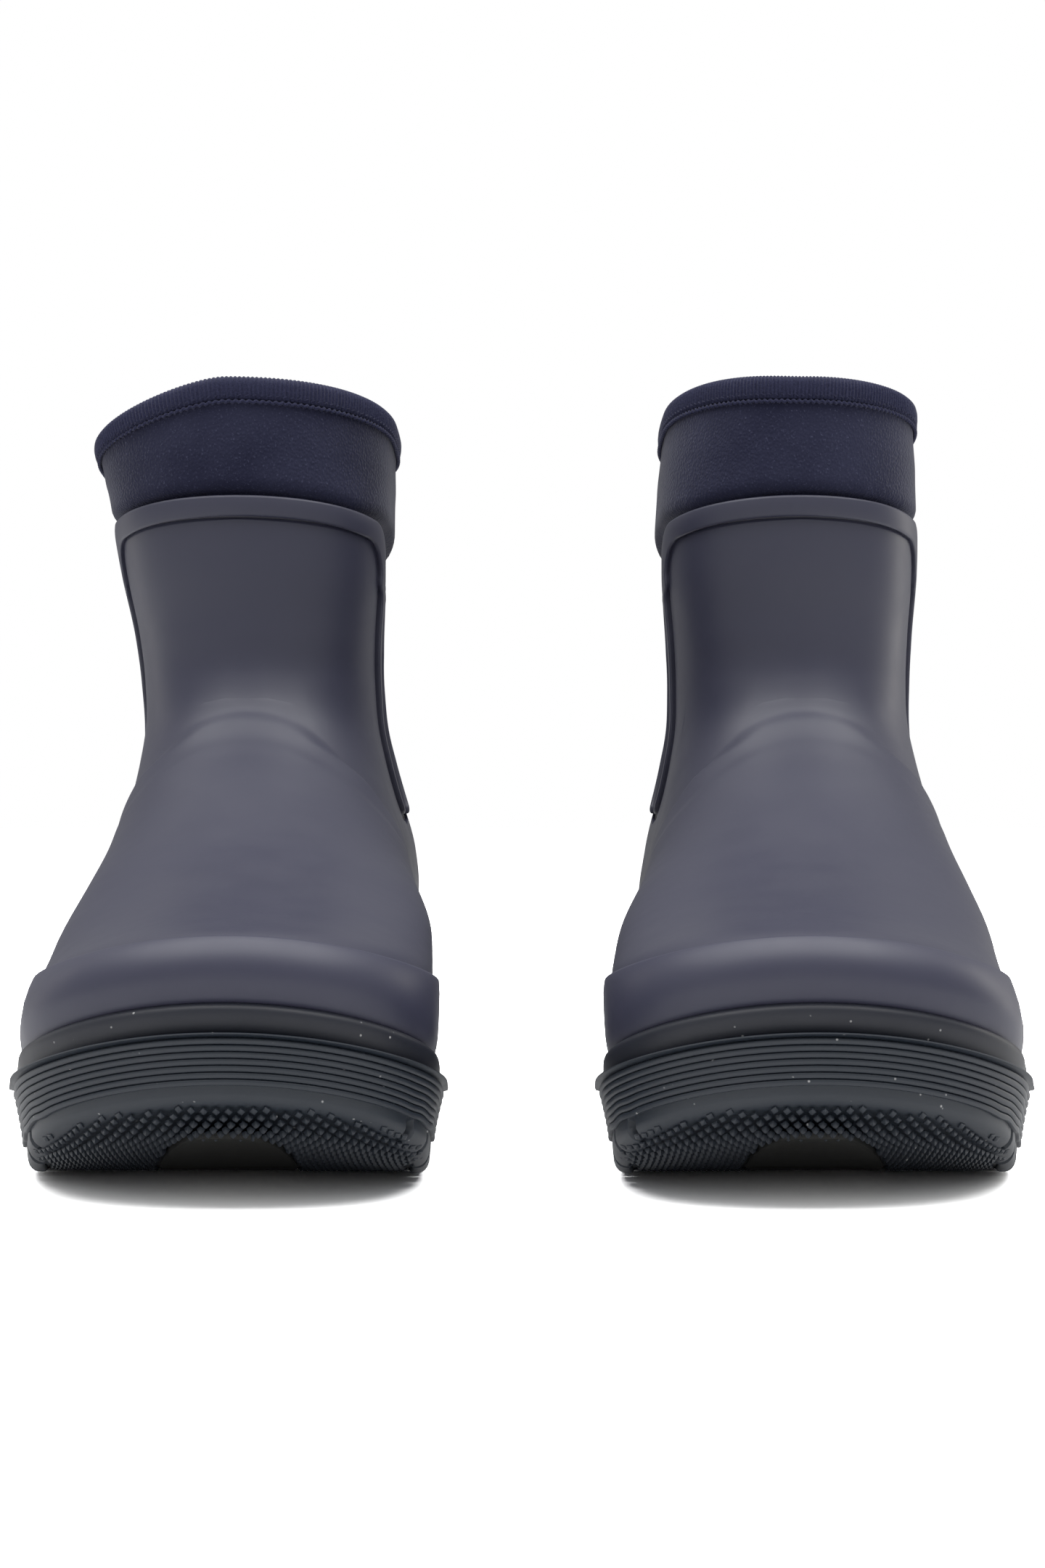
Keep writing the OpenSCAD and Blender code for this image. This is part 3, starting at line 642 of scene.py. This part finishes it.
def cuff_trim(boot):
    """The knitted binding over the cuff's edge, the twisted cord under it, and its stitches."""
    ribs, per = 260, 6
    t = (np.arange(ribs * per) / (ribs * per))[None, :]
    rib = 0.23 * np.cos(2 * np.pi * ribs * t)
    outline = np.array([[-6.3, 0.15], [-6.0, 0.6], [-5.0, 0.85], [-3.4, 0.95], [-1.8, 0.85], [-0.7, 0.5],
                        [-0.1, -0.3], [0.1, -1.4], [0.0, -2.5], [-0.6, -3.4], [-2.0, -4.0], [-4.4, -4.2],
                        [-6.3, -4.0], [-6.3, -3.2], [-1.3, -3.1], [-1.3, 0.1], [-6.1, 0.1]])
    weight = np.array([0.3, 1, 1, 1, 1, 1, 1, 1, 1, 1, 1, 1, 0.3, 0, 0, 0, 0])[:, None]
    z = CUFF_TOP + outline[:, :1] + 0.6 * rib * (outline[:, :1] > -1)
    off = outline[:, 1:] + rib * weight
    rings = boot.lifted(t, z, off + soft_folds(t, z))
    piece(boot, "cuff_binding_knit", loft(rings, closed=True), KNIT, ["cuff_binding"],
          crease=80)

    twists = 170
    t = (np.arange(twists * 8) / (twists * 8))[None, :]
    a = np.linspace(0, 2 * np.pi, 10, endpoint=False)[:, None]
    thick = 0.48 + 0.24 * np.cos(2 * np.pi * twists * t + a)
    z, off = CUFF_TOP - 7.0 + thick * np.sin(a), 0.6 + thick * np.cos(a)
    rings = boot.lifted(t, z, off + soft_folds(t, z))
    piece(boot, "cuff_cord_twisted", loft(rings, closed=True), KNIT, ["cuff_cord"], crease=80)

    stitches, solids = 150, []
    a = np.linspace(0, 2 * np.pi, 6, endpoint=False)[None, :]
    along = np.array([0, 0.08, 0.3, 0.7, 0.92, 1])[:, None]
    thick = np.array([0.05, 0.15, 0.2, 0.2, 0.15, 0.05])[:, None]
    for k in range(stitches):
        t = (k + 0.15 + 0.6 * along[::-1] + 0 * a) / stitches
        z = CUFF_TOP - 5.6 + 0.6 * along + thick * np.sin(a)
        solids.append(loft(boot.lifted(t, z, 0.95 + thick * np.cos(a) + soft_folds(t, z)), nose=False))
    piece(boot, "cuff_stitches", joined(solids), KNIT, ["cuff_stitching"], crease=80)


# ---------------------------------------------------------------- the sole
# Channels up the tread's side: distances from the middle of the sole, and widths
HEEL_NOTCHES = [(y, 1.8) for y in np.arange(72.0, 135, 12.5)]
NOTCHES_OUTSIDE = [(-112.0, 2.6), (-100.0, 2.0),
                   *((y, 1.5) for y in np.arange(-88.0, -10, 12.0)), *HEEL_NOTCHES]
NOTCHES_INSIDE = [(-122.0, 3.0), (-109.5, 1.9),
                  *((y, 1.5) for y in np.arange(-97.0, -10, 12.5)), *HEEL_NOTCHES]
# Depth of the tread's pattern, width of the plain blocks round the ball and heel, and depth of the channels
DEPTH, BLOCK_WIDTH, NOTCH_DEPTH = 1.3, 5.0, 2.1
NUB_PITCH = (2.9, 2.3)


def notches(t, y):
    """1 in a channel of the tread's side, 0 between them."""
    deep = np.zeros_like(y)
    for places, here in ((NOTCHES_OUTSIDE, t < 0.5), (NOTCHES_INSIDE, t >= 0.5)):
        for place, width in places:
            deep = np.maximum(deep, here * ease((width / 2 + 0.3 - np.abs(y - place)) / 0.6))
    return deep


def tuck(y):
    """How far the tread's foot lies in under its side: most at the toe."""
    return 3 + 9 * ease((-92 - y) / 45)


def walled(y):
    """Where the tread's side runs down to the ground: 1 along the ball and the heel, 0 at toe and waist."""
    return np.maximum(ease((y + 108) / 20) * ease((-4 - y) / 8), ease((y - 64) / 6) * ease((140 - y) / 6))


def sole_turns(count):
    """Turns that space points evenly round the feather line."""
    t = np.linspace(0, 1, 4001)
    p = boots["left"].skin(t, FEATHER)
    length = np.concatenate([[0], np.cumsum(np.linalg.norm(np.diff(p, axis=0), axis=1))])
    half = np.interp(np.linspace(0, 0.5, count // 2 + 1) * length[-1], length, t)
    half = half - half[0]
    half = half * 0.5 / half[-1]
    return np.concatenate([half, 1 - half[-2:0:-1]])


# Height and offset of the tread's side from its inner foot up: plain, and where it runs down to the ground.
# The plain one's offsets are shares of the tuck.
PLAIN_SIDE = [[0, -1], [0.01, -0.92], [0.03, -0.84], [0.06, -0.75], [0.1, -0.66], [0.17, -0.55],
              [0.26, -0.44], [0.38, -0.32], [0.53, -0.19], [0.72, -0.08], [1, 0]]
WALL_SIDE = [[DEPTH, -BLOCK_WIDTH], [0.5, -BLOCK_WIDTH], [0.12, -4.7], [0, -4.3], [0, -3.6], [0.05, -2.8],
             [0.3, -2.0], [0.8, -1.3], [1.6, -0.7], [2.9, -0.25], [TREAD_SIDE_TOP, 0]]


def tread(boot):
    """The outsole: its side with channels, and the nubs under it."""
    t = sole_turns(2400)[None, :]
    y = surface_y(t, FEATHER)
    cut = notches(t, y)
    wall = walled(y) * (1 - cut)
    plain, side = np.array(PLAIN_SIDE)[..., None], np.array(WALL_SIDE)[..., None]
    foot = DEPTH + waist(y)
    z = mix(foot + (TREAD_SIDE_TOP - foot) * plain[:, 0], np.maximum(side[:, 0], waist(y)), wall)
    off = mix(tuck(y) * plain[:, 1], side[:, 1], wall) - NOTCH_DEPTH * cut
    top_z = np.array([6.5, 7.6, TREAD_TOP - 0.1, TREAD_TOP])[:, None] + 0 * t
    top_off = np.array([0.1, 0.15, 0.15, 0.15])[:, None]
    top_off = top_off - NOTCH_DEPTH * np.array([1, 0.9, 0, 0])[:, None] * cut
    rings = boot.edge(t, np.concatenate([z, top_z]), np.concatenate([off, top_off]))
    piece(boot, "tread_base", loft(rings, nose=True), SOLE_RUBBER, ["outsole"])
    piece(boot, "tread_nubs", nubs(boot), SOLE_RUBBER)


def foot_of(x, y, outline):
    """Height of the tread's underside at (x, y), and how far the point lies inside the outline."""
    d = np.min(np.hypot(x[:, None] - outline[None, :, 0], y[:, None] - outline[None, :, 1]), axis=1)
    shares = np.array(PLAIN_SIDE)
    foot = DEPTH + waist(y)
    rise = np.interp(-d / tuck(y), shares[:, 1], shares[:, 0])
    return foot + (TREAD_SIDE_TOP - foot) * rise + spring(y), d


def window_half(y):
    """Half width of the smooth plate let into the tread under the ball of the foot."""
    ahead = np.clip((y + 132) / 42, 0, 1)
    return (5 + 12 * np.sqrt(1 - (1 - ahead) ** 2)) * rounding((-14 - y) / 16) * (y >= -132)


def in_window(x, y):
    return np.abs(x - curve(SWING, y)) < window_half(y - 1.5 * (y < -70)) + 1.2 * (window_half(y) > 0)


def nubs(boot):
    """Small pyramids all over the underside, but for its window, its waist and its side blocks."""
    columns, rows = np.arange(-60, 61, NUB_PITCH[0]), np.arange(-147, 148, NUB_PITCH[1])
    x = (columns[None, :] + (np.arange(len(rows)) % 2)[:, None] * NUB_PITCH[0] / 2).ravel()
    y = (rows[:, None] + 0 * columns[None, :]).ravel()
    outline = boot.edge(np.linspace(0, 1, 720), FEATHER, 0.0)[:, :2] / boot.scale[:2]
    inside = np.abs(x - curve(SWING, y) - curve(LEAN_OUT[boot.side], FEATHER)) \
        < boot.half_width(y, FEATHER) / boot.scale[0]
    x, y = x[inside], y[inside]
    z, d = foot_of(x, y, outline)
    keep = ((d > 1.2) & ~in_window(x, y) & ~((walled(y) > 0.25) & (d < BLOCK_WIDTH + 1.2))
            & ((y < 8) | (y > 62)))
    x, y, z, d = x[keep], y[keep], z[keep], d[keep]
    slope_x = (foot_of(x + 0.4, y, outline)[0] - foot_of(x - 0.4, y, outline)[0]) / 0.8
    slope_y = (foot_of(x, y + 0.4, outline)[0] - foot_of(x, y - 0.4, outline)[0]) / 0.8
    down = unit(np.stack([slope_x, slope_y, -np.ones_like(x)], -1))
    side = unit(np.cross(down, [0, 1.0, 0]))
    ahead = np.cross(side, down)
    foot = np.stack([x, y, z], -1)
    tall = (DEPTH - 0.4) * (0.35 + 0.65 * ease((d - 1) / 9))
    solids = []
    corners = np.array([[1, 0], [0, 1], [-1, 0], [0, -1]], float)
    for p, n, a, b, height in zip(foot, down, side, ahead, tall):
        rings = [(p + n * h) + a * corners[:, :1] * r + b * corners[:, 1:] * r * 1.45
                 for h, r in ((-0.4, 1.0), (0.0, 0.92), (height * 0.7, 0.48), (height, 0.2))]
        solids.append(loft(np.array(rings)[:, ::-1] * boot.scale))
    return joined(solids)


def window(boot):
    """The smooth plate let into the tread."""
    y = np.concatenate([np.linspace(-132, -120, 16)[:-1], np.linspace(-120, -14.05, 50)])
    half, centre = window_half(y), curve(SWING, y)

    def row(z, less):
        right = np.stack([centre + half - less, y, spring(y) + z], -1)
        left = np.stack([centre - half + less, y, spring(y) + z], -1)
        return np.concatenate([right[:-1], left[::-1]])
    rings = np.array([row(DEPTH - 0.7, 0.3), row(DEPTH - 0.5, 0.0), row(DEPTH + 0.8, 0.0)]) * boot.scale
    piece(boot, "tread_window", loft(rings), WINDOW_RUBBER)


def foxing(boot):
    """The ribbed band round the sole, ending in a thin lip."""
    ribs = 7
    t = sole_turns(640)
    y = surface_y(t, FEATHER)
    ripple = 0.3 * np.sin((y + 121) * 2 * np.pi / 12) * ease((y + 128) / 8) * ease((-10 - y) / 20)
    # The band grows taller towards the outside of the ball
    deeper = 2.2 * ease((y + 140) / 60) * (t < 0.5) + 0.5 * ease((y + 140) / 60) * (t >= 0.5)
    base = TREAD_TOP - deeper * ease((110 - y) / 60)
    rings = []
    pitch = (FOXING_TOP - 0.9 - base) / ribs
    shape = [(0.0, 0.0), (0.03, 0.42), (0.1, 0.62), (0.45, 0.72), (0.74, 0.66), (0.88, 0.45), (0.96, 0.1)]
    for k in range(ribs):
        for share, out in shape:
            up = (k + share) / ribs
            z = base + (k + share) * pitch + ripple * (1 - up) ** 1.5
            rings.append(boot.edge(t, z, 0.35 + (LIP - 2.0) * up ** 1.3 + out))
    lip = [(FOXING_TOP - 0.9, LIP - 1.9), (FOXING_TOP - 0.35, LIP - 1.2), (FOXING_TOP - 0.05, LIP - 0.1),
           (FOXING_TOP + 0.2, LIP), (FOXING_TOP + 0.3, LIP - 0.25), (FOXING_TOP + 0.05, 2.0),
           (FOXING_TOP - 0.1, -3)]
    rings += [boot.edge(t, z, off) for z, off in lip] + [boot.edge(t, base, -3.0)]
    piece(boot, "foxing_ribbed", loft(rings, closed=True), SOLE_RUBBER, ["foxing"], crease=45)


def welt(boot):
    """The bead along the feather line, as wide as the bumper above it."""
    t = sole_turns(480)
    outline = [(FOXING_TOP - 0.4, -2.9), (FOXING_TOP - 0.4, 1.4), (21.0, 1.6), (22.2, 1.95), (23.4, 2.2),
               (24.6, 2.36), (25.6, 2.36), (26.3, 2.1), (26.8, 1.6), (27.1, 1.0), (27.3, 0.3),
               (FEATHER + 0.6, -2.9)]
    rings = [boot.edge(t, z, off) for z, off in outline]
    piece(boot, "welt_bead", loft(rings, closed=True), SHADED_WELT_RUBBER, ["welt"], crease=80)


def footbed(boot):
    """The loose cushion in the boot, on its own body."""
    t = sole_turns(300)
    rings = [boot.edge(t, z, off) for z, off in ((26.1, -9.6), (26.6, -8.8), (28, -8.3), (30.2, -8.1),
                                                 (30.9, -8.7), (31, -9.6), (30.4, -11), (30.2, -14))]
    piece(boot, "footbed_cushion", loft(rings, nose=True), FOOTBED_CLOTH, ["footbed"],
          crease=80, body=f"{boot.side}_insole")


boots = {}
for side_name in ("left", "right"):
    boots[side_name] = Boot(side_name)
for boot in boots.values():
    vamp(boot)
    quarter(boot)
    rear_panel(boot)
    bumper(boot)
    counter(boot)
    rims(boot)
    gore(boot, 1)
    gore(boot, -1)
    bootee(boot)
    cuff_trim(boot)
    tread(boot)
    window(boot)
    foxing(boot)
    welt(boot)
    footbed(boot)
    for node, material in (("filler", SPONGE), ("insole_board", BOARD)):
        data = frame["nodes"][f"{boot.side}_{node}"].data
        data.materials.clear()
        data.materials.append(material)

# ---------------------------------------------------------------- studio
ground = cad_low.z
# How bright the camera sees the floor, where 1 is white under a light of strength 1
SEEN_FLOOR = 2.7


def floor():
    """White paper. The camera sees it brighter than it lights the boots, so that no horizon shows."""
    data = bpy.data.meshes.new("floor")
    half = 6.0
    corners = [(-half, -half, 0), (half, -half, 0), (half, half, 0), (-half, half, 0)]
    data.from_pydata(corners, [], [(0, 1, 2, 3)])
    obj = bpy.data.objects.new("floor", data)
    obj.location.z = ground - 0.0002
    s = Shader("floor_paper", (0.8, 0.8, 0.8), 0.9, 0.1)
    s.bump(s.noise(300, 2), 0.05, 0.1)
    rays = s.add("ShaderNodeLightPath").outputs["Is Camera Ray"]
    seen = s.add("ShaderNodeBsdfDiffuse", {"Color": (SEEN_FLOOR, SEEN_FLOOR, SEEN_FLOOR, 1)}).outputs[0]
    both = s.add("ShaderNodeMixShader", {0: rays, 1: s.surface.outputs[0], 2: seen}).outputs[0]
    s.set(s.tree.nodes["Material Output"], {"Surface": both})
    data.materials.append(s.done())
    bpy.context.scene.collection.objects.link(obj)


def area_light(name, place, aim, size, watts, color):
    data = bpy.data.lights.new(name, "AREA")
    data.shape, data.size, data.size_y, data.energy, data.color = "RECTANGLE", size[0], size[1], watts, color
    obj = bpy.data.objects.new(name, data)
    bpy.context.scene.collection.objects.link(obj)
    obj.location = place
    direction = Vector(aim) - Vector(place)
    obj.rotation_mode = "QUATERNION"
    obj.rotation_quaternion = direction.to_track_quat("-Z", "Y")


def world():
    """White studio: bright behind the boots, dimmer in front, and plain white to the camera."""
    w = bpy.data.worlds.new("studio")
    bpy.context.scene.world = w
    w.use_nodes = True
    tree = w.node_tree
    tree.nodes.clear()
    out = tree.nodes.new("ShaderNodeOutputWorld")
    both = tree.nodes.new("ShaderNodeMixShader")
    seen, light = tree.nodes.new("ShaderNodeBackground"), tree.nodes.new("ShaderNodeBackground")
    seen.inputs["Color"].default_value, seen.inputs["Strength"].default_value = (1, 1, 1, 1), 1.0
    place = tree.nodes.new("ShaderNodeTexCoord")
    split = tree.nodes.new("ShaderNodeSeparateXYZ")
    depth = tree.nodes.new("ShaderNodeMapRange")
    depth.inputs["From Min"].default_value, depth.inputs["From Max"].default_value = -0.6, 0.5
    depth.inputs["To Min"].default_value, depth.inputs["To Max"].default_value = 0.62, 0.42
    rays = tree.nodes.new("ShaderNodeLightPath")
    link = tree.links.new
    link(place.outputs["Generated"], split.inputs[0])
    link(split.outputs["Y"], depth.inputs["Value"])
    link(depth.outputs["Result"], light.inputs["Strength"])
    link(rays.outputs["Is Camera Ray"], both.inputs[0])
    link(light.outputs[0], both.inputs[1])
    link(seen.outputs[0], both.inputs[2])
    link(both.outputs[0], out.inputs["Surface"])


def camera():
    """Level, a hand's breadth above the ground, as far off as the boots' perspective shows."""
    reach = 0.8
    ball = -0.06 * boots["left"].scale[1]
    data = bpy.data.cameras.new("camera")
    data.sensor_width, data.lens = 36.0, 72.3
    data.clip_start, data.clip_end = 0.01, 50
    obj = bpy.data.objects.new("camera", data)
    bpy.context.scene.collection.objects.link(obj)
    obj.location = (0.0, ball - reach, ground + 0.098)
    obj.rotation_euler = (math.radians(90), 0, 0)
    bpy.context.scene.camera = obj


floor()
world()
camera()
area_light("overhead", (0, -0.15, 1.5), (0, -0.1, 0.1), (2.6, 1.6), 44, (1, 1, 1))
area_light("left_strip", (-1.1, 0.75, 0.25), (0, 0, 0.08), (0.35, 1.0), 1, (1, 0.97, 0.9))
area_light("right_strip", (1.1, 0.75, 0.25), (0, 0, 0.08), (0.35, 1.0), 3, (1, 0.97, 0.9))
bpy.context.scene.view_settings.view_transform = "Standard"
